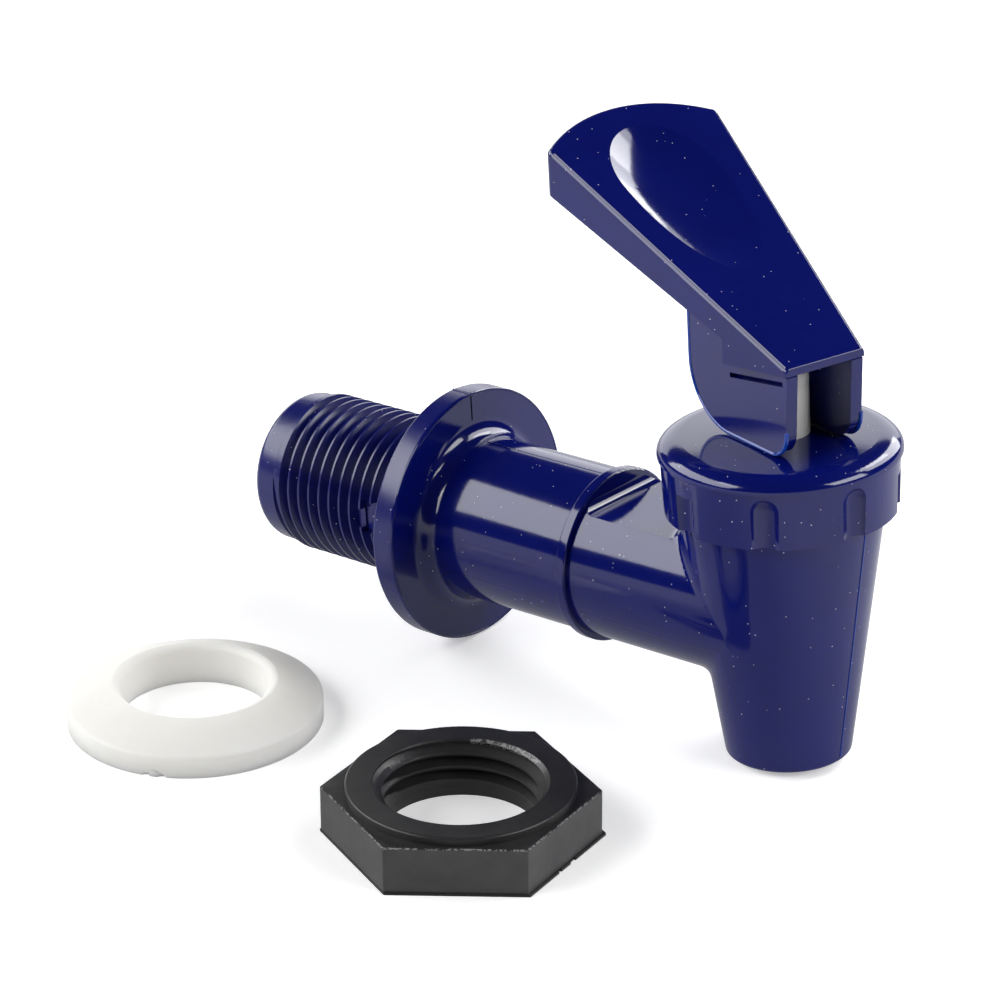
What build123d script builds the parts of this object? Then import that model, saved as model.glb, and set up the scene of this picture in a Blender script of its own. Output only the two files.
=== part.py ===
"""Self-closing dispenser tap with a paddle lever, and its sealing washer and lock nut taken off.

Millimetres. The origin is the centre of the flange's seat face, on the shank's axis.
+Y runs along the shank, away from the spout, and +Z is up.
"""
import os
from math import atan2, cos, degrees, radians, sin, sqrt, tan

from build123d import *

# Shank and flange
thread_dia = 20.955
thread_minor_dia = 18.631
shank_length = 27.5
tip_length = 3.6
tip_dia = 20.0
tip_round = 1.2
relief_radius = 1.5
relief_depth = 1.3
relief_place = 1.3
flange_dia = 33.2
flange_thickness = 3.3
flange_edge_round = 0.4
flange_root_round = 2.4
inlet_bore_dia = 12.0

# Tube
tube_inset = 2.05
bead_place = 25.7
bead_width = 1.5
bead_height = 0.7
bead_round = 0.4
bead_edge_round = 0.25
flat_depth = 2.6
flat_corner_round = 1.5
joint_round = 2.0

# Spout and valve chamber
reach = 53.0
spout_drop = 19.6
outlet_dia = 15.56
outlet_edge_round = 0.6
cone_top_dia = 25.1
cone_top = 12.5
neck_step = 0.15
neck_top = 19.0
chamber_wall = 2.0
outlet_wall = 1.9
seat_height = -7.0
seat_floor = 2.2
seat_bore_dia = 8.4
seat_lip_width = 1.2
seat_lip_height = 0.8

# Bonnet cap
skirt_bottom = 12.84
cap_wall = 1.68
skirt_taper = 0.27
lip_overhang = 0.36
lip_bottom = 19.97
lip_land = 0.28
cap_round_width = 3.06
cap_round_height = 1.85
cap_round_sweep = 84.0
cap_thread_clearance = 0.15
flute_count = 8
flute_radius = 1.9
flute_depth = 0.95
flute_top = 19.5
flute_phase = 15.4
guide_wall = 0.95
guide_bottom = 14.6

# Gasket
gasket_thickness = 1.1

# Stem, O-ring, plug and spring
stem_dia = 7.44
stem_top = 31.4
stem_top_round = 1.6
stem_clearance = 0.05
collar_dia = 12.6
collar_top = 3.6
collar_thickness = 1.6
foot_neck_dia = 4.4
foot_neck_length = 3.2
foot_head_dia = 6.4
foot_head_length = 2.0
o_ring_section = 1.4
o_ring_place = 17.4
o_ring_side_gap = 0.1
plug_top_dia = 9.6
plug_bottom_dia = 12.0
plug_bottom_round = 0.8
plug_clearance = 0.05
plug_top_gap = 0.3
seat_gap = 0.05
spring_wire = 0.9
spring_guide_gap = 0.25
spring_coils = 6
spring_end_gap = 0.1

# Lever
lever_swivel = -16.4
pivot_height = 28.6
pivot_dia = 2.8
pivot_reach = 2.2
pivot_clearance = 0.05
deck_front = -9.6
deck_front_height = 34.3
deck_slope = 26.6
deck_thickness = 1.3
deck_edge_round = 0.7
deck_front_round = 0.25
deck_corner_round = 1.0
deck_rear = 29.0
deck_end_rise = 4.1
deck_front_half = 5.75
deck_rear_half = 12.6
skirt_rear_depth = 5.9
skirt_front_depth = 3.6
skirt_wall = 1.6
block_rear = 0.55
block_depth = 6.7
lip_height = 1.0
cheek_half = 5.55
cheek_thickness = 1.6
cheek_front_top = -9.45
cheek_front_bottom = -8.75
cheek_rear = 10.25
cheek_lift = 0.3
cheek_front_round = 3.0
heel_round = 7.8
hollow_step = 0.4
dish_start = 16.4
dish_deepest = 34.0
dish_end = 43.2
dish_half_width = 6.9
dish_depth = 1.5
slot_start = 2.0
slot_end = -8.6
slot_start_height = 30.36
slot_end_height = 32.15
slot_width = 0.6
slot_depth = 0.9

# Washer and nut, lying on the surface that the tap rests on
washer_dia = 32.2
washer_clearance = 0.17
washer_rim = 2.85
washer_height = 5.3
washer_crown_land = 1.1
washer_crown_round = 1.0
washer_edge_round = 0.5
washer_place = (-41.4, 8.9)
nut_across_flats = 29.1
nut_height = 6.15
nut_edge_round = 0.25
nut_collar_dia = 27.7
nut_collar_height = 1.0
nut_collar_round = 0.3
nut_mouth_dia = 21.2
nut_place = (-41.9, -35.9)
nut_turn = 8.7

# Sizes that follow from the ones above
thread_radius = thread_dia / 2
washer_hole_radius = thread_minor_dia / 2 + washer_clearance / 2
washer_crown_radius = washer_hole_radius + washer_crown_land
tube_radius = cone_top_dia / 2 - tube_inset
flat_height = tube_radius - flat_depth
flange_radius = flange_dia / 2
outlet_radius = outlet_dia / 2
neck_radius = cone_top_dia / 2 - neck_step
chamber_radius = cone_top_dia / 2 - chamber_wall
cap_bore_radius = neck_radius + cap_thread_clearance
skirt_bottom_radius = cap_bore_radius + cap_wall
skirt_top_radius = skirt_bottom_radius + skirt_taper
lip_radius = skirt_top_radius + lip_overhang
stem_radius = stem_dia / 2
guide_bore_radius = stem_radius + stem_clearance
guide_radius = guide_bore_radius + guide_wall
bead_radius = tube_radius + bead_height
bead_front = -bead_place - bead_width
cap_ceiling = neck_top + gasket_thickness
cone_slope = (cone_top_dia - outlet_dia) / 2 / (cone_top + spout_drop)
seat_lip_radius = seat_bore_dia / 2 + seat_lip_width
seat_lip_top = seat_height + seat_lip_height
spout_axis = Axis((0, -reach, 0), (0, 0, 1))

# Half section of the spout: across to the right, up along the spout's axis
spout_plane = Plane(origin=(0, -reach, 0), x_dir=(1, 0, 0), z_dir=(0, -1, 0))


def cone_radius(height):
    """Outside radius of the conical spout at a height."""
    return outlet_radius + cone_slope * (height + spout_drop)


def corner(section, place):
    """The section's corner nearest to a place on it."""
    return section.vertices().sort_by_distance(place)[0]


# Tap body: shank, flange, tube, chamber and spout in one moulding
with BuildPart() as tap_body:
    with BuildSketch(Plane.XY) as tube_section:
        with BuildLine() as tube_outline:
            Polyline(
                (0, shank_length),
                (tip_dia / 2, shank_length),
                (tip_dia / 2, shank_length - tip_length),
                (thread_radius, shank_length - tip_length - (thread_dia - tip_dia) / 2),
                (thread_radius, 0),
                (flange_radius, 0),
                (flange_radius, -flange_thickness),
                (tube_radius, -flange_thickness),
                (tube_radius, -bead_place),
                (bead_radius, -bead_place),
                (bead_radius, bead_front),
                (tube_radius, bead_front),
                (tube_radius, -reach),
                (0, -reach),
                close=True,
            )
        make_face()
        fillet(corner(tube_section, (tip_dia / 2, shank_length)), tip_round)
        fillet(corner(tube_section, (flange_radius, 0)), flange_edge_round)
        fillet(corner(tube_section, (flange_radius, -flange_thickness)), flange_edge_round)
        fillet(corner(tube_section, (tube_radius, -flange_thickness)), flange_root_round)
        fillet(corner(tube_section, (tube_radius, -bead_place)), bead_round)
        fillet(corner(tube_section, (bead_radius, -bead_place)), bead_edge_round)
        fillet(corner(tube_section, (bead_radius, bead_front)), bead_edge_round)
    revolve(axis=Axis.Y)

    # Flat on the tube's top, from the bead to the chamber, which clears the cap's skirt
    with BuildSketch(Plane.YZ) as flat_section:
        with BuildLine():
            Polyline(
                (bead_front, neck_top),
                (bead_front, flat_height),
                (-reach - tube_radius, flat_height),
                (-reach - tube_radius, neck_top),
                close=True,
            )
        make_face()
        fillet(corner(flat_section, (bead_front, flat_height)), flat_corner_round)
    extrude(amount=flange_radius, both=True, mode=Mode.SUBTRACT)

    # Spout and chamber outside, with the neck that the cap screws on
    with BuildSketch(spout_plane) as spout_section:
        with BuildLine():
            Polyline(
                (0, -spout_drop),
                (outlet_radius, -spout_drop),
                (cone_top_dia / 2, cone_top),
                (neck_radius, cone_top),
                (neck_radius, neck_top),
                (0, neck_top),
                close=True,
            )
        make_face()
    revolve(axis=spout_axis)
    joint_rear = -reach + cone_top_dia / 2
    joint_edges = tap_body.edges().filter_by_position(Axis.Y, -reach + joint_round, joint_rear)
    joint_bottom = -tube_radius - joint_round
    joint_top = flat_height + joint_round
    fillet(joint_edges.filter_by_position(Axis.Z, joint_bottom, joint_top), joint_round)
    mouth = tap_body.edges().group_by(Axis.Z)[0]
    fillet(mouth, outlet_edge_round)

    # Valve chamber, seat and outlet bore
    with BuildSketch(spout_plane) as chamber_section:
        with BuildLine():
            Polyline(
                (0, -spout_drop),
                (outlet_radius - outlet_wall, -spout_drop),
                (cone_radius(seat_height - seat_floor) - outlet_wall, seat_height - seat_floor),
                (seat_bore_dia / 2, seat_height - seat_floor),
                (seat_bore_dia / 2, seat_lip_top),
                (seat_lip_radius, seat_lip_top),
                (seat_lip_radius, seat_height),
                (cone_radius(seat_height) - chamber_wall, seat_height),
                (chamber_radius, cone_top),
                (chamber_radius, neck_top),
                (0, neck_top),
                close=True,
            )
        make_face()
    revolve(axis=spout_axis, mode=Mode.SUBTRACT)

    # Inlet bore from the shank's end into the chamber
    with BuildSketch(Plane.XZ.offset(-shank_length)):
        Circle(inlet_bore_dia / 2)
    extrude(amount=shank_length + reach, mode=Mode.SUBTRACT)

    # Relief notch in the thread beside the flange, one on each side
    relief_floor = thread_radius - relief_depth
    for side in (Plane.YZ.offset(relief_floor), Plane.ZY.offset(relief_floor)):
        with BuildSketch(side):
            with Locations(side.to_local_coords(Vector(side.origin.X, relief_place, 0))):
                Circle(relief_radius)
        extrude(amount=relief_depth * 2, mode=Mode.SUBTRACT)

# Bonnet cap: fluted skirt, lip, domed top and the guide for the stem
round_end = radians(cap_round_sweep)
dome_edge_radius = lip_radius - cap_round_width * (1 - cos(round_end))
dome_edge = lip_bottom + lip_land + cap_round_height * sin(round_end)
dome_slope = atan2(cap_round_height * cos(round_end), cap_round_width * sin(round_end))
dome_top = dome_edge + dome_edge_radius * tan(dome_slope / 2)
with BuildPart() as bonnet_cap:
    with BuildSketch(spout_plane):
        with BuildLine():
            skirt_side = Polyline(
                (guide_bore_radius, guide_bottom),
                (guide_radius, guide_bottom),
                (guide_radius, cap_ceiling),
                (cap_bore_radius, cap_ceiling),
                (cap_bore_radius, skirt_bottom),
                (skirt_bottom_radius, skirt_bottom),
                (skirt_top_radius, lip_bottom),
                (lip_radius, lip_bottom),
                (lip_radius, lip_bottom + lip_land),
            )
            shoulder = EllipticalCenterArc(
                (lip_radius - cap_round_width, lip_bottom + lip_land),
                cap_round_width,
                cap_round_height,
                arc_size=cap_round_sweep,
            )
            dome = TangentArc(shoulder @ 1, (0, dome_top), tangent=shoulder % 1)
            Polyline(dome @ 1, (0, guide_bottom), skirt_side @ 0)
        make_face()
    revolve(axis=spout_axis)
    with BuildSketch(spout_plane):
        with Locations((guide_bore_radius / 2, (guide_bottom + dome_top) / 2)):
            Rectangle(guide_bore_radius, 2 * (dome_top - guide_bottom))
    revolve(axis=spout_axis, mode=Mode.SUBTRACT)

    # Ball-ended finger flutes, open at the skirt's bottom edge
    flute_plane = Plane(origin=(0, -reach, 0), x_dir=(0, -1, 0), z_dir=(0, 0, 1))
    with Locations(flute_plane):
        with PolarLocations(skirt_bottom_radius - flute_depth + flute_radius, flute_count, -flute_phase):
            with Locations((0, 0, skirt_bottom - flute_radius)):
                Cylinder(
                    flute_radius,
                    flute_top - skirt_bottom,
                    align=(Align.CENTER, Align.CENTER, Align.MIN),
                    mode=Mode.SUBTRACT,
                )
            with Locations((0, 0, flute_top - flute_radius)):
                Sphere(flute_radius, mode=Mode.SUBTRACT)

# Gasket between the neck and the cap
with BuildPart() as cap_gasket:
    with BuildSketch(Plane(origin=(0, -reach, neck_top))):
        Circle(neck_radius)
        Circle(chamber_radius, mode=Mode.SUBTRACT)
    extrude(amount=gasket_thickness)

# Frame of the lever and stem: across, forward to back, and up from the shank's axis
lever_frame = Plane(
    origin=(0, -reach, 0),
    x_dir=(cos(radians(lever_swivel)), sin(radians(lever_swivel)), 0),
    z_dir=(0, 0, 1),
)
lever_side = Plane(origin=lever_frame.origin, x_dir=lever_frame.y_dir, z_dir=lever_frame.x_dir)
foot_head_top = collar_top - collar_thickness - foot_neck_length
foot_bottom = foot_head_top - foot_head_length
o_ring_outer = guide_bore_radius - stem_clearance / 2
groove_radius = o_ring_outer - o_ring_section - o_ring_side_gap / 2
groove_half = o_ring_section / 2 + o_ring_side_gap

# Valve stem: head with the lever's cross hole, O-ring groove, spring collar and barbed foot
with BuildPart() as valve_stem:
    with BuildSketch(lever_side) as stem_section:
        with BuildLine():
            Polyline(
                (0, foot_bottom),
                (foot_head_dia / 2, foot_bottom),
                (foot_head_dia / 2, foot_head_top),
                (foot_neck_dia / 2, foot_head_top),
                (foot_neck_dia / 2, collar_top - collar_thickness),
                (collar_dia / 2, collar_top - collar_thickness),
                (collar_dia / 2, collar_top),
                (stem_radius, collar_top),
                (stem_radius, o_ring_place - groove_half),
                (groove_radius, o_ring_place - groove_half),
                (groove_radius, o_ring_place + groove_half),
                (stem_radius, o_ring_place + groove_half),
                (stem_radius, stem_top),
                (0, stem_top),
                close=True,
            )
        make_face()
        fillet(corner(stem_section, (stem_radius, stem_top)), stem_top_round)
    revolve(axis=spout_axis)
    with BuildSketch(lever_side):
        with Locations((0, pivot_height)):
            Circle(pivot_dia / 2 + pivot_clearance)
    extrude(amount=stem_radius, both=True, mode=Mode.SUBTRACT)

# O-ring in the stem's groove
with BuildPart() as stem_o_ring:
    with BuildSketch(lever_side):
        with Locations((o_ring_outer - o_ring_section / 2, o_ring_place)):
            Circle(o_ring_section / 2)
    revolve(axis=spout_axis)

# Seat plug: soft cone that closes the seat, turning freely on the stem's barbed foot
plug_bottom = seat_lip_top + seat_gap
plug_top = collar_top - collar_thickness - plug_top_gap
with BuildPart() as seat_plug:
    with BuildSketch(spout_plane) as plug_section:
        with BuildLine():
            Polyline(
                (0, plug_bottom),
                (plug_bottom_dia / 2, plug_bottom),
                (plug_top_dia / 2, plug_top),
                (foot_neck_dia / 2 + plug_clearance, plug_top),
                (foot_neck_dia / 2 + plug_clearance, foot_head_top + plug_clearance),
                (foot_head_dia / 2 + plug_clearance, foot_head_top + plug_clearance),
                (foot_head_dia / 2 + plug_clearance, foot_bottom - plug_clearance),
                (0, foot_bottom - plug_clearance),
                close=True,
            )
        make_face()
        fillet(corner(plug_section, (plug_bottom_dia / 2, plug_bottom)), plug_bottom_round)
    revolve(axis=spout_axis)

# Return spring round the cap's guide, from the stem's collar to the cap
spring_radius = guide_radius + spring_guide_gap + spring_wire / 2
spring_bottom = collar_top + spring_end_gap + spring_wire / 2
spring_rise = cap_ceiling - spring_end_gap - spring_wire / 2 - spring_bottom
with BuildPart() as return_spring:
    with BuildLine():
        coil = Helix(
            pitch=spring_rise / spring_coils,
            height=spring_rise,
            radius=spring_radius,
            center=(0, -reach, spring_bottom),
        )
    with BuildSketch(Plane(origin=coil @ 0, z_dir=coil % 0)):
        Circle(spring_wire / 2)
    sweep(path=coil, is_frenet=True)

# Lever: sloping deck with a thumb dish, flared skirt and two cheeks, open below and in front
slope_angle = radians(deck_slope)
deck_normal = lever_frame.z_dir * cos(slope_angle) - lever_frame.y_dir * sin(slope_angle)
deck_plane = Plane(
    origin=lever_frame.from_local_coords((0, deck_front, deck_front_height)),
    x_dir=lever_frame.x_dir,
    z_dir=deck_normal,
)
deck_side = Plane(origin=deck_plane.origin, x_dir=deck_plane.y_dir, z_dir=deck_plane.x_dir)
cheek_bottom = dome_top + cheek_lift
deck_rise = tan(slope_angle)
deck_flare = (deck_rear_half - deck_front_half) / (deck_rear - deck_front)
dish_axis_height = (dish_half_width**2 - dish_depth**2) / (2 * dish_depth)


def deck_height(along):
    """Height of the deck's top at a place along the lever."""
    return deck_front_height + (along - deck_front) * deck_rise


def lever_plan(right_side, end_rise):
    """Face seen from above: straight front, given right side, its mirror image, arched rear end."""
    with BuildSketch() as plan:
        with BuildLine():
            right = Polyline(*right_side)
            left = Polyline(*[(-across, along) for across, along in reversed(right_side)])
            ThreePointArc(right @ 1, (0, right_side[-1][1] + end_rise), left @ 0)
            Line(left @ 1, right @ 0)
        make_face()
    return plan.sketch


def dish_section(drop):
    """Half section of the thumb dish, from its arched floor to the line that it turns about."""
    with BuildSketch() as section:
        with BuildLine():
            low = (dish_deepest, -dish_depth - drop)
            front_arc = TangentArc(low, (dish_start, -drop), tangent=(-1, 0))
            rear_arc = TangentArc(low, (dish_end, -drop), tangent=(1, 0))
            Polyline(
                rear_arc @ 1,
                (dish_end, dish_axis_height),
                (dish_start, dish_axis_height),
                front_arc @ 1,
            )
        make_face()
    return section.sketch


dish_axis = Axis(deck_side.from_local_coords((0, dish_axis_height, 0)), deck_plane.y_dir)
inner_half = cheek_half - cheek_thickness
lever_end = deck_rear + 2 * deck_end_rise

# Hollow below the deck, open at the bottom and in front, less the underside of the dish
hollow_side = [
    (inner_half + hollow_step, deck_front - skirt_wall),
    (inner_half + hollow_step, cheek_rear),
    (deck_front_half + deck_flare * (cheek_rear - deck_front) - skirt_wall, cheek_rear),
    (deck_rear_half - skirt_wall, deck_rear - skirt_wall),
]
with BuildPart() as lever_hollow:
    with BuildSketch(lever_frame.offset(pivot_height)):
        add(lever_plan(hollow_side, deck_end_rise))
    extrude(amount=deck_height(lever_end) - pivot_height)
    split(bisect_by=deck_plane.offset(-deck_thickness), keep=Keep.BOTTOM)
    with BuildSketch(deck_side):
        add(dish_section(deck_thickness))
    revolve(axis=dish_axis, mode=Mode.SUBTRACT)

with BuildPart() as lever:
    with BuildSketch(lever_frame.offset(pivot_height)):
        add(lever_plan([(deck_front_half, deck_front), (deck_rear_half, deck_rear)], deck_end_rise))
    extrude(amount=deck_height(lever_end) - pivot_height)
    upright_edges = lever.edges().filter_by(Axis.Z)
    rear_corners = upright_edges.sort_by(Axis(lever_frame.origin, lever_frame.y_dir))[-2:]
    fillet(rear_corners, deck_corner_round)

    # Side view: sloping deck, tapering skirt, and the deeper block at the front with its low lip
    skirt_slope = (skirt_rear_depth - skirt_front_depth) / (deck_rear - block_rear)
    end_depth = skirt_rear_depth + skirt_slope * (lever_end - deck_rear)
    with BuildSketch(lever_side):
        with BuildLine():
            Polyline(
                (deck_front - skirt_wall, deck_height(deck_front - skirt_wall)),
                (lever_end, deck_height(lever_end)),
                (lever_end, deck_height(lever_end) - end_depth),
                (block_rear, deck_height(block_rear) - skirt_front_depth),
                (block_rear, deck_height(block_rear) - block_depth),
                (deck_front, deck_front_height - lip_height),
                (deck_front - skirt_wall, deck_front_height - lip_height),
                close=True,
            )
        make_face()
    extrude(amount=deck_rear_half, both=True, mode=Mode.INTERSECT)
    deck_edges = lever.faces().sort_by(Axis(deck_plane.origin, deck_normal))[-1].edges()
    deck_edges = deck_edges.sort_by(Axis(deck_plane.origin, deck_plane.y_dir))
    fillet(deck_edges[1:], deck_edge_round)
    lip_edge = lever.edges().filter_by(Axis(deck_plane.origin, deck_plane.x_dir))
    fillet(lip_edge.sort_by_distance(deck_plane.origin)[0], deck_front_round)
    add(lever_hollow.part, mode=Mode.SUBTRACT)

    # Cheeks: upright plates with a rounded heel that rolls on the cap
    for start in (-cheek_half, inner_half):
        with BuildSketch(lever_side.offset(start)) as cheek_section:
            with BuildLine():
                Polyline(
                    (cheek_front_top, deck_height(cheek_front_top) - deck_thickness),
                    (cheek_front_bottom, cheek_bottom),
                    (cheek_rear, cheek_bottom),
                    (cheek_rear, deck_height(cheek_rear) - deck_thickness),
                    close=True,
                )
            make_face()
            fillet(corner(cheek_section, (cheek_front_bottom, cheek_bottom)), cheek_front_round)
            fillet(corner(cheek_section, (cheek_rear, cheek_bottom)), heel_round)
        extrude(amount=cheek_thickness)

    # Thumb dish
    with BuildSketch(deck_side):
        add(dish_section(0))
    revolve(axis=dish_axis, mode=Mode.SUBTRACT)

    # Pivot studs inside the cheeks, and the narrow slot across each cheek
    for start, direction in ((-inner_half, 1), (inner_half, -1)):
        with BuildSketch(lever_side.offset(start)):
            with Locations((0, pivot_height)):
                Circle(pivot_dia / 2)
        extrude(amount=direction * (inner_half - pivot_reach))
    slot_tilt = degrees(atan2(slot_end_height - slot_start_height, slot_end - slot_start))
    slot_length = sqrt((slot_end - slot_start) ** 2 + (slot_end_height - slot_start_height) ** 2)
    slot_floor = cheek_half - slot_depth
    slot_middle = ((slot_start + slot_end) / 2, (slot_start_height + slot_end_height) / 2)
    for start, direction in ((-slot_floor, -1), (slot_floor, 1)):
        with BuildSketch(lever_side.offset(start)):
            with Locations(slot_middle):
                Rectangle(slot_length, slot_width, rotation=slot_tilt)
        extrude(amount=direction * (slot_depth + skirt_wall), mode=Mode.SUBTRACT)

# Surface under the tap, which touches the outlet's rear edge and the flange's lower edge
rest_tilt = degrees(atan2(spout_drop - flange_radius, reach - outlet_radius))


def rest_plane(place):
    """Plane of that surface at a place given across and along the shank's axis."""
    across, along = place
    height = -flange_radius + along * tan(radians(rest_tilt))
    return Plane(
        origin=(across, along, height),
        x_dir=(1, 0, 0),
        z_dir=(0, -sin(radians(rest_tilt)), cos(radians(rest_tilt))),
    )


# Sealing washer with a conical face
washer_plane = rest_plane(washer_place)
washer_side = Plane(origin=washer_plane.origin, x_dir=washer_plane.x_dir, z_dir=-washer_plane.y_dir)
with BuildPart() as sealing_washer:
    with BuildSketch(washer_side) as ring_section:
        with BuildLine():
            Polyline(
                (washer_hole_radius, 0),
                (washer_dia / 2, 0),
                (washer_dia / 2, washer_rim),
                (washer_crown_radius, washer_height),
                (washer_hole_radius, washer_height),
                close=True,
            )
        make_face()
        fillet(corner(ring_section, (washer_dia / 2, washer_rim)), washer_edge_round)
        fillet(corner(ring_section, (washer_hole_radius, washer_height)), washer_crown_round)
    revolve(axis=Axis(washer_plane.origin, washer_plane.z_dir))

# Lock nut: hexagon with a raised collar
nut_plane = rest_plane(nut_place)
nut_side = Plane(origin=nut_plane.origin, x_dir=nut_plane.x_dir, z_dir=-nut_plane.y_dir)
with BuildPart() as lock_nut:
    with BuildSketch(nut_plane):
        RegularPolygon(nut_across_flats / 2, 6, major_radius=False, rotation=nut_turn)
    extrude(amount=nut_height)
    fillet(lock_nut.edges().filter_by(Axis(nut_plane.origin, nut_plane.z_dir)), nut_edge_round)
    with BuildSketch(nut_plane.offset(nut_height)):
        Circle(nut_collar_dia / 2)
    extrude(amount=nut_collar_height)
    top_rim = lock_nut.faces().sort_by(Axis(nut_plane.origin, nut_plane.z_dir))[-1].edges()
    fillet(top_rim, nut_collar_round)
    nut_total = nut_height + nut_collar_height
    mouth_depth = (nut_mouth_dia - thread_minor_dia) / 2
    with BuildSketch(nut_side):
        with BuildLine():
            Polyline(
                (0, 0),
                (nut_mouth_dia / 2, 0),
                (thread_minor_dia / 2, mouth_depth),
                (thread_minor_dia / 2, nut_total - mouth_depth),
                (nut_mouth_dia / 2, nut_total),
                (0, nut_total),
                close=True,
            )
        make_face()
    revolve(axis=Axis(nut_plane.origin, nut_plane.z_dir), mode=Mode.SUBTRACT)

os.makedirs("parts", exist_ok=True)
pieces = {
    "tap_body": tap_body,
    "bonnet_cap": bonnet_cap,
    "cap_gasket": cap_gasket,
    "valve_stem": valve_stem,
    "stem_o_ring": stem_o_ring,
    "seat_plug": seat_plug,
    "return_spring": return_spring,
    "lever": lever,
    "sealing_washer": sealing_washer,
    "lock_nut": lock_nut,
}
for name, piece in pieces.items():
    piece.part.label = name
    export_step(piece.part, f"parts/{name}.step")
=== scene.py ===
"""Looks of the dispenser tap: threads, moulding seams and flash, finishes, floor, light and camera."""

from math import atan2, cos, pi, radians, sin, tan

import bmesh
import bpy
from mathutils import Matrix, Vector


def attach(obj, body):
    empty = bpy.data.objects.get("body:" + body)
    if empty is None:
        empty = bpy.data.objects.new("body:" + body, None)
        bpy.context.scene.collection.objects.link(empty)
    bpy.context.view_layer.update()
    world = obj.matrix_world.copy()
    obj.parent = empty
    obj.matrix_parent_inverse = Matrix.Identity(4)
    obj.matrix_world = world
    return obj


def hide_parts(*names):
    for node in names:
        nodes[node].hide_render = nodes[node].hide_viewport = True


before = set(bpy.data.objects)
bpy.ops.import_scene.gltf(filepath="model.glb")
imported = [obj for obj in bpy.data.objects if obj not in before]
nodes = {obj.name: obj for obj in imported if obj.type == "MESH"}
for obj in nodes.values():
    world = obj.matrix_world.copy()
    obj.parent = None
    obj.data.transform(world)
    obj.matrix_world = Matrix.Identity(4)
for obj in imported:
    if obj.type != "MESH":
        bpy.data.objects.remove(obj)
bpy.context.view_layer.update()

MM = 0.001

# Sizes of the tap, in millimetres and degrees
thread_dia = 20.955
thread_minor_dia = 18.631
thread_pitch = 1.814
thread_crest = 0.3
thread_start = 0.7
thread_end_gap = 0.4
shank_length = 27.5
tip_length = 3.6
flange_dia = 33.2
flange_thickness = 3.3
flange_root_round = 2.4
tube_dia = 21.0
bead_place = 25.7
reach = 53.0
spout_drop = 19.6
outlet_dia = 15.56
cone_top_dia = 25.1
cone_top = 12.5
lever_swivel = -16.4
cheek_half = 5.55
cheek_rear = 10.25
cheek_bottom = 22.74
cheek_lean = 3.9
heel_round = 7.8
cheek_front = -8.75
cheek_front_round = 3.0
skirt_foot = 36.4
deck_front = -9.6
deck_front_height = 34.3
deck_slope = 26.6
deck_rear = 29.0
deck_front_half = 5.75
deck_rear_half = 12.6

# Narrow flats along the deck: width, drop, depth into the lever, start behind the front, and shortening
deck_edge_flat = 0.345
deck_edge_drop = 0.44
deck_edge_depth = 0.9
deck_edge_start = 0.35
deck_edge_short = 1.6

# Relief pocket in the thread, in two steps: radius of its floor, start and end along the shank, foot and top
pocket_steps = ((9.25, 0.2, 7.7, -1.5, 2.7), (9.5, 7.0, 8.6, -0.9, 1.6))
pocket_outside = 12.0

# Thread cutters: steps of a turn, and how their ends and mouths stand clear of the work
turn_steps = 96
fade_turns = 0.12
fade_reach = 1.3
cutter_spare = 0.2
nut_root_spare = 0.05
nut_spare_turns = 0.5
nut_thread_turn = 200

# Beads: their sides, the steps of their turns, and the radius of each
bead_sides = 10
bead_turn_step = 6
bead_least_steps = 4
flange_seam_radius = 0.13
flange_seam_start = 0.3
tube_seam_radius = 0.07
spout_seam_radius = 0.12
spout_seam_start = 0.01
spout_seam_share = 0.965
flange_edge_radius = 0.18
flange_edge_back = 0.14
flange_edge_in = 0.17
flange_edge_steps = 160
rim_radius = 0.26
rim_inset = 0.1
rim_end = 0.6

# Loose pieces on the floor: their places across and along the shank's axis, and their sizes
washer_place = (-41.4, 8.9)
washer_dia = 32.2
nut_place = (-41.9, -35.9)
nut_turn = 8.7
nut_across_flats = 29.1
nut_height = 6.15
nut_total = 7.15
nut_collar_dia = 27.7
nut_mouth_dia = 21.2
nut_land = 2.0
nut_land_top = 1.4
nut_land_spare = 0.1
floor_gap = 0.02

# Worn edges of the nut, and dust with painted sheen on its upright sides; the painted sheen is stronger
# towards +X, where more light falls
nut_edge_outside = 0.2
nut_edge_least_angle = 1.0
nut_edge_soften = 0.16
nut_edge_wear = 0.7
mouth_wear = 0.55
mouth_wear_radius = 10.7
mouth_wear_depth = 1.0
mouth_wear_from = radians(-25)
mouth_wear_to = radians(35)
dust_and_sheen_inset = 0.3
dust_and_sheen_upright = 0.1
dust_and_sheen_least = 0.17
painted_sheen_more = 0.36

# Flash under the nut, and its tears as turn and width
flash_inside = 2.0
flash_outside = 0.45
flash_thickness = 0.32
flash_shift = 0.12
flash_tears = ((-77.0, 1.1), (-88.0, 0.5))
tear_place = 15.4
tear_depth = 1.3
tear_height = 3

# Mark of the washer's gate: a nib between two notches
gate_turn = -153.8
notch_turns = (-157.6, -150.2)
notch_radius = 0.5
nib_inset = 0.25
nib_height = 0.45
nib_radii = (0.5, 0.75, 0.5)

# Amounts of painted glow that the blue finish reads: brighter blue where the moulding is thin, as if light
# showed through it
rim_glow = 1.0
seam_glow = 0.6

# The floor touches the outlet's rear edge and the flange's lower edge
rest_tilt = atan2(spout_drop - flange_dia / 2, reach - outlet_dia / 2)

# Camera, as the photograph was taken
camera_place = Vector((-357.74, -331.22, 202.70)) * MM
camera_target = Vector((32.36, 22.01, -15.27)) * MM
camera_roll = radians(-0.24)
camera_lens = 146.3
camera_sensor = 36
camera_clip_start = 0.01

# Meshes: corners this near are one, faces that meet at less than this are shaded as one
merge_distance = 0.0005
crisp_angle = radians(28)
match_distance = 0.01


def floor_matrix(place):
    """Frame on the floor at a place given across and along the shank's axis, with Z square to the floor."""
    across, along = place
    height = -flange_dia / 2 + along * tan(rest_tilt)
    lift = Matrix.Translation(Vector((across, along, height)) * MM)
    return lift @ Matrix.Rotation(rest_tilt, 4, "X")


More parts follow.
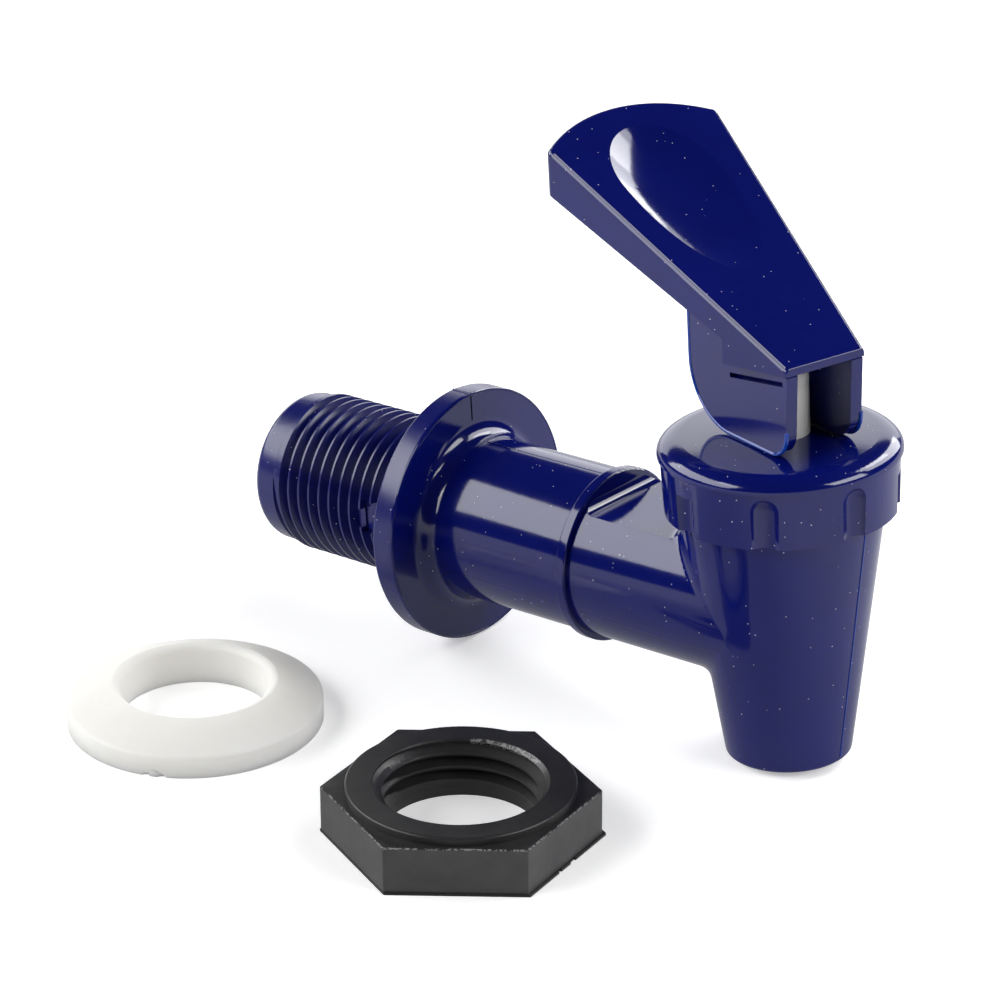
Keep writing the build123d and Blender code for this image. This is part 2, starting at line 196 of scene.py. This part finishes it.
def turned(angle):
    """Turn about Z by an angle in degrees."""
    return Matrix.Rotation(radians(angle), 4, "Z")


def link(name, bm):
    """New object from a finished bmesh."""
    mesh = bpy.data.meshes.new(name)
    bm.to_mesh(mesh)
    bm.free()
    piece = bpy.data.objects.new(name, mesh)
    bpy.context.scene.collection.objects.link(piece)
    return piece


def put(bm, matrix):
    """Moves a whole bmesh by a matrix."""
    bmesh.ops.transform(bm, matrix=matrix, verts=bm.verts)


def of_kind(made, kind):
    """The items of one kind among those that an operator made."""
    return [item for item in made if isinstance(item, kind)]


def merged_copy(name, node):
    """Copy of a CAD node's mesh with its loose corners merged."""
    bm = bmesh.new()
    bm.from_mesh(nodes[node].data)
    bmesh.ops.remove_doubles(bm, verts=bm.verts, dist=merge_distance * MM)
    piece = link(name, bm)
    piece.data.materials.clear()
    normals = piece.data.attributes.get("custom_normal")
    if normals:
        piece.data.attributes.remove(normals)
    return piece


def groove_profile(root_radius, mouth_radius):
    """Section of a thread's groove, from its root to a mouth clear of the work."""
    root_half = groove_root / 2
    mouth_half = groove_open / 2 + cutter_spare * flank
    return [
        (root_radius, -root_half),
        (root_radius, root_half),
        (mouth_radius, mouth_half),
        (mouth_radius, -mouth_half),
    ]


def helical_groove(profile, turns, back_away):
    """Groove cutter: a profile of (radius, along) points in millimetres, wound about Z at the thread's pitch.

    Over its first and last fade_turns it backs away from the work by the given millimetres."""
    bm = bmesh.new()
    corners = [bm.verts.new((radius * MM, 0, along * MM)) for radius, along in profile]
    start = bm.faces.new(corners)
    steps = int(turns * turn_steps)
    bmesh.ops.spin(
        bm,
        geom=[start, *start.edges, *start.verts],
        cent=(0, 0, 0),
        axis=(0, 0, 1),
        dvec=(0, 0, thread_pitch * MM / turn_steps),
        angle=2 * pi * turns,
        steps=steps,
    )
    fade_steps = fade_turns * turn_steps
    for index, vert in enumerate(bm.verts):
        station = index // len(profile)
        left = max(0.0, 1 - min(station, steps - station) / fade_steps)
        flat = Vector((vert.co.x, vert.co.y, 0))
        vert.co += flat.normalized() * left * back_away * MM
    bmesh.ops.recalc_face_normals(bm, faces=bm.faces)
    return bm


def cut(piece, tool):
    """Cuts the tool's shape out of the piece and deletes the tool."""
    modifier = piece.modifiers.new("cut", "BOOLEAN")
    modifier.operation = "DIFFERENCE"
    modifier.solver = "EXACT"
    modifier.object = tool
    shown = piece.evaluated_get(bpy.context.evaluated_depsgraph_get())
    result = bpy.data.meshes.new_from_object(shown)
    piece.modifiers.clear()
    piece.data = result
    result.name = piece.name
    bpy.data.objects.remove(tool)


def cut_box(piece, name, matrix):
    """Cuts a box, a unit cube put in place by a matrix, out of the piece."""
    bm = bmesh.new()
    bmesh.ops.create_cube(bm, size=1, matrix=matrix)
    cut(piece, link(name, bm))


def smooth(piece):
    """Smooth shading with crisp edges where faces meet at more than the crisp angle."""
    bm = bmesh.new()
    bm.from_mesh(piece.data)
    for face in bm.faces:
        face.smooth = True
    for edge in bm.edges:
        edge.smooth = len(edge.link_faces) == 2 and edge.calc_face_angle() < crisp_angle
    bm.to_mesh(piece.data)
    bm.free()
    weighted = piece.modifiers.new("even_shading", "WEIGHTED_NORMAL")
    weighted.keep_sharp = True


def full_turn(bm, geom, axis, steps):
    """Spins a section once round an axis through the origin."""
    bmesh.ops.spin(bm, geom=geom, cent=(0, 0, 0), axis=axis, angle=2 * pi, steps=steps, use_merge=True)


def bead(place, heading, radius, moves):
    """Round bead in millimetres: a circle square to its heading, drawn along straight moves and round turns.

    A straight move is a vector; a turn is a centre, an axis and an angle in degrees."""
    bm = bmesh.new()
    square = Vector(heading).to_track_quat("Z", "Y").to_matrix().to_4x4()
    start = Matrix.Translation(Vector(place) * MM) @ square
    bmesh.ops.create_circle(bm, cap_ends=True, radius=radius * MM, segments=bead_sides, matrix=start)
    rim = list(bm.edges)
    for move in moves:
        if isinstance(move[0], tuple):
            centre, axis, angle = move
            corners = list(dict.fromkeys(vert for edge in rim for vert in edge.verts))
            made = bmesh.ops.spin(
                bm,
                geom=rim + corners,
                cent=Vector(centre) * MM,
                axis=axis,
                angle=radians(angle),
                steps=max(bead_least_steps, int(abs(angle) / bead_turn_step)),
            )["geom_last"]
            rim = of_kind(made, bmesh.types.BMEdge)
        else:
            made = bmesh.ops.extrude_edge_only(bm, edges=rim)["geom"]
            ends = of_kind(made, bmesh.types.BMVert)
            bmesh.ops.translate(bm, verts=ends, vec=Vector(move) * MM)
            rim = [edge for edge in of_kind(made, bmesh.types.BMEdge) if set(edge.verts) <= set(ends)]
    bmesh.ops.contextual_create(bm, geom=rim)
    bmesh.ops.recalc_face_normals(bm, faces=bm.faces)
    return bm


def mark(piece, name, amount):
    """Gives every corner of a piece a named amount that its finish reads."""
    layer = piece.data.attributes.new(name, "FLOAT", "POINT")
    for value in layer.data:
        value.value = amount


# Thread of the shank
groove_root = thread_pitch / 6
groove_open = thread_pitch - thread_crest
flank = (groove_open - groove_root) / (thread_dia - thread_minor_dia)
shank_profile = groove_profile(thread_minor_dia / 2, thread_dia / 2 + cutter_spare)
shank_turns = (shank_length - tip_length - thread_start - thread_end_gap) / thread_pitch
shank_cutter = helical_groove(shank_profile, shank_turns, fade_reach)
put(shank_cutter, Matrix.Translation((0, thread_start * MM, 0)) @ Matrix.Rotation(radians(-90), 4, "X"))
threaded_body = merged_copy("threaded_body", "tap_body")
cut(threaded_body, link("shank_cutter", shank_cutter))

# Relief pocket in the thread beside the flange, one on each side
for side in (-1, 1):
    for pocket_floor, pocket_start, pocket_end, pocket_foot, pocket_top in pocket_steps:
        near = Vector((side * pocket_floor, pocket_start, pocket_foot)) * MM
        far = Vector((side * pocket_outside, pocket_end, pocket_top)) * MM
        size = [abs(length) for length in far - near]
        middle = Matrix.Translation((near + far) / 2)
        cut_box(threaded_body, "pocket", middle @ Matrix.Diagonal((*size, 1)))

# Thread of the nut
nut_profile = groove_profile(thread_dia / 2 + nut_root_spare, thread_minor_dia / 2 - cutter_spare)
nut_turns = (nut_total - nut_land) / thread_pitch + nut_spare_turns
nut_cutter = helical_groove(nut_profile, nut_turns, -fade_reach)
nut_frame = floor_matrix(nut_place)
put(nut_cutter, nut_frame @ Matrix.Translation((0, 0, nut_land * MM)) @ turned(nut_thread_turn))
threaded_nut = merged_copy("threaded_nut", "lock_nut")
cut(threaded_nut, link("nut_cutter", nut_cutter))

# Worn edges of the nut: its top hexagon, softened, and the rear of the thread's mouth
bm = bmesh.new()
bm.from_mesh(threaded_nut.data)
put(bm, nut_frame.inverted())
worn = bm.faces.layers.float.new("worn")
dust_and_sheen = bm.faces.layers.float.new("dust_and_sheen")


def on_top_hexagon(vert):
    """Whether a corner lies on the edge of the nut's hexagon, at its top."""
    outside = Vector((vert.co.x, vert.co.y)).length > (nut_collar_dia / 2 + nut_edge_outside) * MM
    return outside and abs(vert.co.z - nut_height * MM) < match_distance * MM


top_edges = [edge for edge in bm.edges if all(on_top_hexagon(vert) for vert in edge.verts)]
top_edges = [edge for edge in top_edges if len(edge.link_faces) == 2]
top_edges = [edge for edge in top_edges if edge.calc_face_angle() > nut_edge_least_angle]
softened = bmesh.ops.bevel(
    bm,
    geom=top_edges,
    offset=nut_edge_soften * MM,
    offset_type="OFFSET",
    affect="EDGES",
    segments=2,
    profile=0.5,
    material=-1,
    clamp_overlap=False,
)
sides_radius = nut_across_flats / 2 - dust_and_sheen_inset
for face in bm.faces:
    middle = face.calc_center_median()
    away = middle.xy.length
    at_mouth = middle.z > (nut_total - mouth_wear_depth) * MM and away < mouth_wear_radius * MM
    if at_mouth and mouth_wear_from < atan2(middle.y, middle.x) < mouth_wear_to:
        face[worn] = mouth_wear
    # Dust with painted sheen on the upright sides: a grey film, its painted sheen stronger on sides facing +X
    if abs(face.normal.z) < dust_and_sheen_upright and away > sides_radius * MM:
        face[dust_and_sheen] = dust_and_sheen_least + painted_sheen_more * max(0.0, face.normal.x)
for face in softened["faces"]:
    face[worn] = nut_edge_wear
put(bm, nut_frame)
bm.to_mesh(threaded_nut.data)
bm.free()

# Smooth land at the foot of the nut's thread
bm = bmesh.new()
land_profile = [
    (thread_minor_dia / 2, floor_gap),
    (nut_mouth_dia / 2 + nut_land_spare, floor_gap),
    (thread_minor_dia / 2, nut_land_top),
]
section = bm.faces.new([bm.verts.new((radius * MM, 0, height * MM)) for radius, height in land_profile])
full_turn(bm, [section, *section.edges, *section.verts], (0, 0, 1), turn_steps)
bmesh.ops.delete(bm, geom=[face for face in bm.faces if len(face.verts) == 3], context="FACES_ONLY")
bmesh.ops.recalc_face_normals(bm, faces=bm.faces)
put(bm, nut_frame)
nut_foot = link("nut_foot", bm)

# Thin flash under the nut, wider on its right side and torn there
bm = bmesh.new()
for across_flats in (nut_across_flats - flash_inside, nut_across_flats + flash_outside):
    radius = across_flats / 2 / cos(pi / 6) * MM
    bmesh.ops.create_circle(bm, segments=6, radius=radius, matrix=turned(nut_turn - 30))
bmesh.ops.bridge_loops(bm, edges=bm.edges)
lifted = of_kind(bmesh.ops.extrude_face_region(bm, geom=bm.faces[:])["geom"], bmesh.types.BMVert)
bmesh.ops.translate(bm, verts=lifted, vec=(0, 0, flash_thickness * MM))
bmesh.ops.recalc_face_normals(bm, faces=bm.faces)
put(bm, nut_frame @ Matrix.Translation((flash_shift * MM, -flash_shift * MM, floor_gap * MM)))
nut_flash = link("nut_flash", bm)
for turn, width in flash_tears:
    tear = turned(turn) @ Matrix.Translation((tear_place * MM, 0, 0))
    tear = tear @ Matrix.Diagonal((tear_depth * MM, width * MM, tear_height * MM, 1))
    cut_box(nut_flash, "tear", nut_frame @ tear)

# Washer with the torn mark of its moulding gate on the lower rim
washer_frame = floor_matrix(washer_place)
gated_washer = merged_copy("gated_washer", "sealing_washer")
for turn in notch_turns:
    bm = bmesh.new()
    notch = turned(turn) @ Matrix.Translation((washer_dia / 2 * MM, 0, 0))
    bmesh.ops.create_icosphere(bm, subdivisions=2, radius=notch_radius * MM, matrix=washer_frame @ notch)
    cut(gated_washer, link("notch", bm))
bm = bmesh.new()
nib_place = (washer_dia / 2 * MM - nib_inset * MM, 0, nib_height * MM)
nib = turned(gate_turn) @ Matrix.Translation(nib_place) @ Matrix.Diagonal((*nib_radii, 1))
bmesh.ops.create_icosphere(bm, subdivisions=3, radius=1 * MM, matrix=washer_frame @ nib)
bmesh.ops.bisect_plane(
    bm,
    geom=[*bm.verts, *bm.edges, *bm.faces],
    plane_co=washer_frame.translation,
    plane_no=washer_frame.col[2].to_3d(),
    clear_inner=True,
)
bmesh.ops.holes_fill(bm, edges=bm.edges)
gate_nib = link("gate_nib", bm)

# Seam of the mould over the flange
flange_radius = flange_dia / 2
tube_radius = tube_dia / 2
root_edge = tube_radius + flange_root_round
root_end = -flange_thickness - flange_root_round
flange_seam_moves = [
    (0, flange_seam_start - flange_thickness, 0),
    (0, 0, root_edge - flange_radius),
    ((0, root_end, root_edge), (1, 0, 0), -90),
]
flange_seam = link(
    "flange_seam",
    bead((0, -flange_seam_start, flange_radius), (0, -1, 0), flange_seam_radius, flange_seam_moves),
)

# Bead round the flange's front edge
bm = bmesh.new()
ring_place = (0, flange_edge_back - flange_thickness, flange_radius - flange_edge_in)
ring = Matrix.Translation(Vector(ring_place) * MM) @ Matrix.Rotation(radians(90), 4, "Y")
bmesh.ops.create_circle(bm, segments=bead_sides, radius=flange_edge_radius * MM, matrix=ring)
full_turn(bm, [*bm.edges, *bm.verts], (0, 1, 0), flange_edge_steps)
bmesh.ops.recalc_face_normals(bm, faces=bm.faces)
flange_edge = link("flange_edge", bm)

# Seams of the mould along the tube and down the spout's front
tube_seam = link(
    "tube_seam",
    bead((0, root_end, tube_radius), (0, -1, 0), tube_seam_radius, [(0, -root_end - bead_place, 0)]),
)
seam_top = Vector((0, -reach - cone_top_dia / 2, cone_top))
seam_foot = Vector((0, -reach - outlet_dia / 2, -spout_drop))
seam_run = seam_foot - seam_top
spout_seam = link(
    "spout_seam",
    bead(
        seam_top.lerp(seam_foot, spout_seam_start),
        seam_run,
        spout_seam_radius,
        [tuple(seam_run * spout_seam_share)],
    ),
)

# Thin proud rims round the lever's cheeks
lever_frame = Matrix.Translation((0, -reach * MM, 0)) @ turned(lever_swivel)
front_turn = cheek_front + cheek_front_round / tan(radians(90 + cheek_lean) / 2)
heel_place = cheek_rear - heel_round
heel_height = cheek_bottom + heel_round
cheek_rims = []
for name, side in (("left_rim", -1), ("right_rim", 1)):
    across = side * (cheek_half - rim_inset)
    rim_moves = [
        (0, 0, heel_height - skirt_foot),
        ((across, heel_place, heel_height), (1, 0, 0), -90),
        (0, front_turn - heel_place, 0),
        ((across, front_turn, cheek_bottom + cheek_front_round), (1, 0, 0), cheek_lean - 90),
        (0, -rim_end * sin(radians(cheek_lean)), rim_end),
    ]
    bm = bead((across, cheek_rear, skirt_foot), (0, 0, -1), rim_radius, rim_moves)
    put(bm, lever_frame)
    cheek_rims.append(link(name, bm))


def square_to(along, direction):
    """Unit vector nearest a direction, square to another unit vector."""
    direction = Vector(direction)
    return (direction - along * direction.dot(along)).normalized()


# Narrow flats along both long edges of the lever's deck
deck_rear_height = deck_front_height + (deck_rear - deck_front) * tan(radians(deck_slope))
edge_flats = []
for name, side in (("left_edge_flat", -1), ("right_edge_flat", 1)):
    front = Vector((side * deck_front_half, deck_front, deck_front_height))
    rear = Vector((side * deck_rear_half, deck_rear, deck_rear_height))
    along = (rear - front).normalized()
    inward = square_to(along, (-side, 0, 0))
    down = square_to(along, (0, 0, -1))
    corners = [inward * deck_edge_flat, down * deck_edge_drop, (inward + down) * deck_edge_depth]
    start = front + along * deck_edge_start
    bm = bmesh.new()
    section = bm.faces.new([bm.verts.new((start + corner) * MM) for corner in corners])
    ends = of_kind(bmesh.ops.extrude_face_region(bm, geom=[section])["geom"], bmesh.types.BMVert)
    bmesh.ops.translate(bm, verts=ends, vec=along * ((rear - front).length - deck_edge_short) * MM)
    bmesh.ops.recalc_face_normals(bm, faces=bm.faces)
    put(bm, lever_frame)
    edge_flats.append(link(name, bm))

fixed_pieces = [threaded_body, threaded_nut, nut_foot, nut_flash, gated_washer, gate_nib]
for piece in fixed_pieces + [flange_seam, flange_edge, tube_seam, spout_seam]:
    smooth(piece)
    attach(piece, "tap")
for piece in cheek_rims + edge_flats:
    smooth(piece)
    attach(piece, "lever")
# Painted glow: the cheek rims and the spout's seam read as brighter blue
for piece in cheek_rims:
    mark(piece, "painted_glow", rim_glow)
mark(spout_seam, "painted_glow", seam_glow)
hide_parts("tap_body")
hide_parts("lock_nut")
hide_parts("sealing_washer")


# Materials
def new_material(name):
    """Empty node material with its shader and Object coordinates."""
    material = bpy.data.materials.new(name)
    material.use_nodes = True
    tree = material.node_tree
    shader = tree.nodes["Principled BSDF"]
    place = tree.nodes.new("ShaderNodeTexCoord")
    return material, tree, shader, place.outputs["Object"]


def noise(tree, place, scale):
    """Noise factor at a scale given per metre."""
    texture = tree.nodes.new("ShaderNodeTexNoise")
    texture.inputs["Scale"].default_value = scale
    texture.inputs["Detail"].default_value = 3.0
    texture.inputs["Roughness"].default_value = 0.55
    tree.links.new(place, texture.inputs["Vector"])
    return texture.outputs["Fac"]


def ramp(tree, factor, *stops):
    """Colour ramp through (position, colour) stops."""
    node = tree.nodes.new("ShaderNodeValToRGB")
    for element, (position, colour) in zip(node.color_ramp.elements, stops):
        element.position = position
        element.color = (*colour, 1)
    tree.links.new(factor, node.inputs["Fac"])
    return node.outputs["Color"]


def mottled(tree, place, scale, first, second):
    """Colour that wanders between two tones, by noise at a scale."""
    return ramp(tree, noise(tree, place, scale), (0.3, first), (0.7, second))


def spread(tree, factor, low, high):
    """Factor spread between two values."""
    node = tree.nodes.new("ShaderNodeMapRange")
    node.inputs["To Min"].default_value = low
    node.inputs["To Max"].default_value = high
    tree.links.new(factor, node.inputs["Value"])
    return node.outputs["Result"]


def uneven(tree, place, scale, low, high):
    """Factor that wanders between two values, by noise at a scale."""
    return spread(tree, noise(tree, place, scale), low, high)


def bumps(tree, shader, height, distance):
    """Bump from a height factor, at a distance given in millimetres."""
    node = tree.nodes.new("ShaderNodeBump")
    node.inputs["Strength"].default_value = 1.0
    node.inputs["Distance"].default_value = distance * MM
    tree.links.new(height, node.inputs["Height"])
    tree.links.new(node.outputs["Normal"], shader.inputs["Normal"])


def maths(tree, operation, first, second):
    """Result of a math node on an output and another output or a plain number."""
    node = tree.nodes.new("ShaderNodeMath")
    node.operation = operation
    tree.links.new(first, node.inputs[0])
    if isinstance(second, float):
        node.inputs[1].default_value = second
    else:
        tree.links.new(second, node.inputs[1])
    return node.outputs[0]


def specks(tree, place, scale, size, share):
    """Mask of small round specks: one in a share of the cells, with a radius given in cell widths."""
    cells = tree.nodes.new("ShaderNodeTexVoronoi")
    cells.inputs["Scale"].default_value = scale
    tree.links.new(place, cells.inputs["Vector"])
    near = maths(tree, "LESS_THAN", cells.outputs["Distance"], size)
    picked = maths(tree, "LESS_THAN", cells.outputs["Color"], share)
    return maths(tree, "MULTIPLY", near, picked)


def blend(tree, factor, first, second):
    """Colour mix of an output and a colour by a factor."""
    node = tree.nodes.new("ShaderNodeMix")
    node.data_type = "RGBA"
    tree.links.new(factor, node.inputs["Factor"])
    tree.links.new(first, node.inputs[6])
    node.inputs[7].default_value = (*second, 1)
    return node.outputs[2]


def amount(tree, name):
    """Named amount on the mesh, 0 where it isn't given."""
    node = tree.nodes.new("ShaderNodeAttribute")
    node.attribute_name = name
    return node.outputs["Fac"]


# Blue: painted glow brightening the thin rims and the spout's seam, dusted with specks, satin from the
# flange's rim to the shank's end
satin_from = -2.9
dust_grey = (0.60, 0.61, 0.70)
glow_blue = (0.003, 0.045, 0.34)
blue_plastic, tree, shader, place = new_material("blue_plastic")
navy = mottled(tree, place, 90, (0.0018, 0.0046, 0.103), (0.0024, 0.0060, 0.124))
# Painted glow: brighter blue where the moulding is thin
edge_lit = blend(tree, amount(tree, "painted_glow"), navy, glow_blue)
dusted = blend(tree, specks(tree, place, 1400, 0.095, 0.26), edge_lit, dust_grey)
tree.links.new(dusted, shader.inputs["Base Color"])
apart = tree.nodes.new("ShaderNodeSeparateXYZ")
tree.links.new(place, apart.inputs[0])
on_shank = maths(tree, "GREATER_THAN", apart.outputs["Y"], satin_from * MM)
satin = maths(tree, "MULTIPLY", on_shank, uneven(tree, place, 300, 0.1, 0.2))
sheen = maths(tree, "ADD", satin, uneven(tree, place, 350, 0.07, 0.13))
tree.links.new(sheen, shader.inputs["Roughness"])
shader.inputs["IOR"].default_value = 1.58
bumps(tree, shader, noise(tree, place, 700), 0.003)

# Black: dust with painted sheen on the nut's sides, rubbed grey at its worn edges
scuff_and_sheen_grey = (0.30, 0.30, 0.31)
black_plastic, tree, shader, place = new_material("black_plastic")
char = mottled(tree, place, 220, (0.013, 0.013, 0.014), (0.022, 0.022, 0.023))
rubbed = maths(tree, "GREATER_THAN", noise(tree, place, 2600), 0.5)
rubbed = maths(tree, "MULTIPLY", amount(tree, "worn"), rubbed)
# Painted sheen with dust: the sides' film turns the black towards grey
dust_and_sheen_share = maths(tree, "MULTIPLY", amount(tree, "dust_and_sheen"), uneven(tree, place, 300, 0.5, 1.2))
dust_and_sheen_black = blend(tree, dust_and_sheen_share, char, scuff_and_sheen_grey)
scuffed_and_sheened = blend(tree, rubbed, dust_and_sheen_black, scuff_and_sheen_grey)
tree.links.new(scuffed_and_sheened, shader.inputs["Base Color"])
tree.links.new(uneven(tree, place, 500, 0.3, 0.44), shader.inputs["Roughness"])
bumps(tree, shader, noise(tree, place, 1500), 0.02)

# Ivory: soft, and lit a little from within
ivory_rubber, tree, shader, place = new_material("ivory_rubber")
ivory = mottled(tree, place, 120, (0.83, 0.82, 0.78), (0.87, 0.86, 0.83))
tree.links.new(ivory, shader.inputs["Base Color"])
tree.links.new(uneven(tree, place, 500, 0.42, 0.58), shader.inputs["Roughness"])
shader.inputs["Subsurface Weight"].default_value = 0.6
shader.inputs["Subsurface Radius"].default_value = (1.0, 0.95, 0.8)
shader.inputs["Subsurface Scale"].default_value = 4 * MM
bumps(tree, shader, noise(tree, place, 900), 0.01)

natural_plastic, tree, shader, place = new_material("natural_plastic")
milk = mottled(tree, place, 160, (0.74, 0.74, 0.70), (0.82, 0.82, 0.78))
tree.links.new(milk, shader.inputs["Base Color"])
tree.links.new(uneven(tree, place, 500, 0.25, 0.4), shader.inputs["Roughness"])

silicone, tree, shader, place = new_material("silicone")
cloudy = mottled(tree, place, 160, (0.70, 0.71, 0.71), (0.79, 0.80, 0.80))
tree.links.new(cloudy, shader.inputs["Base Color"])
tree.links.new(uneven(tree, place, 500, 0.45, 0.6), shader.inputs["Roughness"])

spring_steel, tree, shader, place = new_material("spring_steel")
drawn = mottled(tree, place, 900, (0.52, 0.52, 0.53), (0.64, 0.64, 0.64))
tree.links.new(drawn, shader.inputs["Base Color"])
shader.inputs["Metallic"].default_value = 1.0
tree.links.new(uneven(tree, place, 1500, 0.2, 0.34), shader.inputs["Roughness"])

finishes = {
    "blue_plastic": (
        blue_plastic,
        [threaded_body, flange_seam, flange_edge, tube_seam, spout_seam, *cheek_rims, *edge_flats],
        ["tap_body", "bonnet_cap", "lever"],
    ),
    "black_plastic": (black_plastic, [threaded_nut, nut_foot, nut_flash], ["lock_nut"]),
    "ivory_rubber": (ivory_rubber, [gated_washer, gate_nib], ["sealing_washer"]),
    "natural_plastic": (natural_plastic, [], ["valve_stem"]),
    "silicone": (silicone, [], ["seat_plug", "stem_o_ring", "cap_gasket"]),
    "spring_steel": (spring_steel, [], ["return_spring"]),
}
for slot_name, (material, made, shown) in finishes.items():
    for piece in made:
        piece.data.materials.clear()
        piece.data.materials.append(material)
    for node in shown:
        nodes[node].data.materials[0] = material


# Floor: white, lifted a little where it is seen so that only the nearest shadow shows,
# and with painted shade in the tap's reflections: greyer there, darkest beside the loose pieces; half its
# width is in metres
floor_half = 4
floor_glow = 0.38
floor_white = (0.9, 0.9, 0.9)
shaded_place = Vector((-45, -35, -16)) * MM
shaded_stop = (0.035, (0.0, 0.0, 0.0))
open_stop = (0.09, (0.36, 0.36, 0.36))
bm = bmesh.new()
bmesh.ops.create_grid(bm, x_segments=1, y_segments=1, size=floor_half, matrix=floor_matrix((0, 0)))
floor = link("floor", bm)
floor_paint = bpy.data.materials.new("floor_paint")
floor_paint.use_nodes = True
tree = floor_paint.node_tree
tree.nodes.clear()
place = tree.nodes.new("ShaderNodeTexCoord")
away = tree.nodes.new("ShaderNodeVectorMath")
away.operation = "DISTANCE"
away.inputs[1].default_value = shaded_place
tree.links.new(place.outputs["Object"], away.inputs[0])
reflected_shade = ramp(tree, away.outputs["Value"], shaded_stop, open_stop)
path = tree.nodes.new("ShaderNodeLightPath")
white = tree.nodes.new("ShaderNodeMix")
white.data_type = "RGBA"
white.inputs[6].default_value = (*floor_white, 1)
# Painted shade: reflections see the grey ramp, the camera and lamps the white floor
tree.links.new(path.outputs["Is Glossy Ray"], white.inputs["Factor"])
tree.links.new(reflected_shade, white.inputs[7])
matte = tree.nodes.new("ShaderNodeBsdfDiffuse")
tree.links.new(white.outputs[2], matte.inputs["Color"])
glow = tree.nodes.new("ShaderNodeEmission")
seen = path.outputs["Is Camera Ray"]
for kind in ("Is Glossy Ray", "Is Transmission Ray"):
    seen = maths(tree, "MAXIMUM", seen, path.outputs[kind])
tree.links.new(spread(tree, seen, 0.0, floor_glow), glow.inputs["Strength"])
added = tree.nodes.new("ShaderNodeAddShader")
tree.links.new(matte.outputs[0], added.inputs[0])
tree.links.new(glow.outputs[0], added.inputs[1])
out = tree.nodes.new("ShaderNodeOutputMaterial")
tree.links.new(added.outputs[0], out.inputs["Surface"])
floor.data.materials.append(floor_paint)

# World: a dim room round the tap; the white floor fills the picture
room_strength = 0.03
world = bpy.data.worlds.new("studio")
bpy.context.scene.world = world
world.use_nodes = True
tree = world.node_tree
tree.nodes.clear()
room = tree.nodes.new("ShaderNodeBackground")
room.inputs["Strength"].default_value = room_strength
out = tree.nodes.new("ShaderNodeOutputWorld")
tree.links.new(room.outputs[0], out.inputs["Surface"])

# Lamps all face one place in the middle of the tap, in millimetres
lamp_aim = Vector((0, -30, 5))


def softbox(name, direction, along, distance, length, width, radiance):
    """Area lamp of even radiance in a direction from the tap; its length runs along another direction."""
    lamp = bpy.data.lights.new(name, "AREA")
    lamp.shape = "RECTANGLE"
    lamp.size = length * MM
    lamp.size_y = width * MM
    lamp.energy = radiance * pi * lamp.size * lamp.size_y
    box = bpy.data.objects.new(name, lamp)
    bpy.context.scene.collection.objects.link(box)
    back = Vector(direction).normalized()
    up = back.cross(Vector(along)).normalized()
    facing = Matrix((up.cross(back), up, back)).transposed().to_4x4()
    box.matrix_world = Matrix.Translation((lamp_aim + back * distance) * MM) @ facing
    box.visible_camera = False


softbox("left_softbox", (-0.53, 0.63, 0.56), (0.787, 0.617, 0), 1500, 2340, 800, 4.7)
softbox("upper_strip", (-0.66, 0.24, 0.69), (0.787, 0.617, 0), 1440, 560, 200, 4.0)
softbox("upper_right_strip", (0.752, -0.185, 0.632), (0.465, 0.72, -0.515), 1440, 620, 260, 4.5)
softbox("right_softbox", (0.85, -0.19, 0.49), (0.465, 0.72, -0.515), 1500, 1530, 665, 5.6)
softbox("front_softbox", (0.22, -0.86, 0.46), (0.97, 0.25, 0), 1500, 970, 640, 6.4)
softbox("backdrop", (0.72, 0.65, 0.24), (0.67, -0.74, 0), 1500, 1700, 650, 1.8)

# Camera
view = bpy.data.cameras.new("camera")
view.lens = camera_lens
view.sensor_width = camera_sensor
view.clip_start = camera_clip_start
camera = bpy.data.objects.new("camera", view)
bpy.context.scene.collection.objects.link(camera)
back = (camera_place - camera_target).normalized()
right = Vector((0, -sin(rest_tilt), cos(rest_tilt))).cross(back).normalized()
level = Matrix((right, back.cross(right), back)).transposed().to_4x4()
camera.matrix_world = Matrix.Translation(camera_place) @ level @ Matrix.Rotation(camera_roll, 4, "Z")
bpy.context.scene.camera = camera
bpy.context.scene.view_settings.view_transform = "Standard"
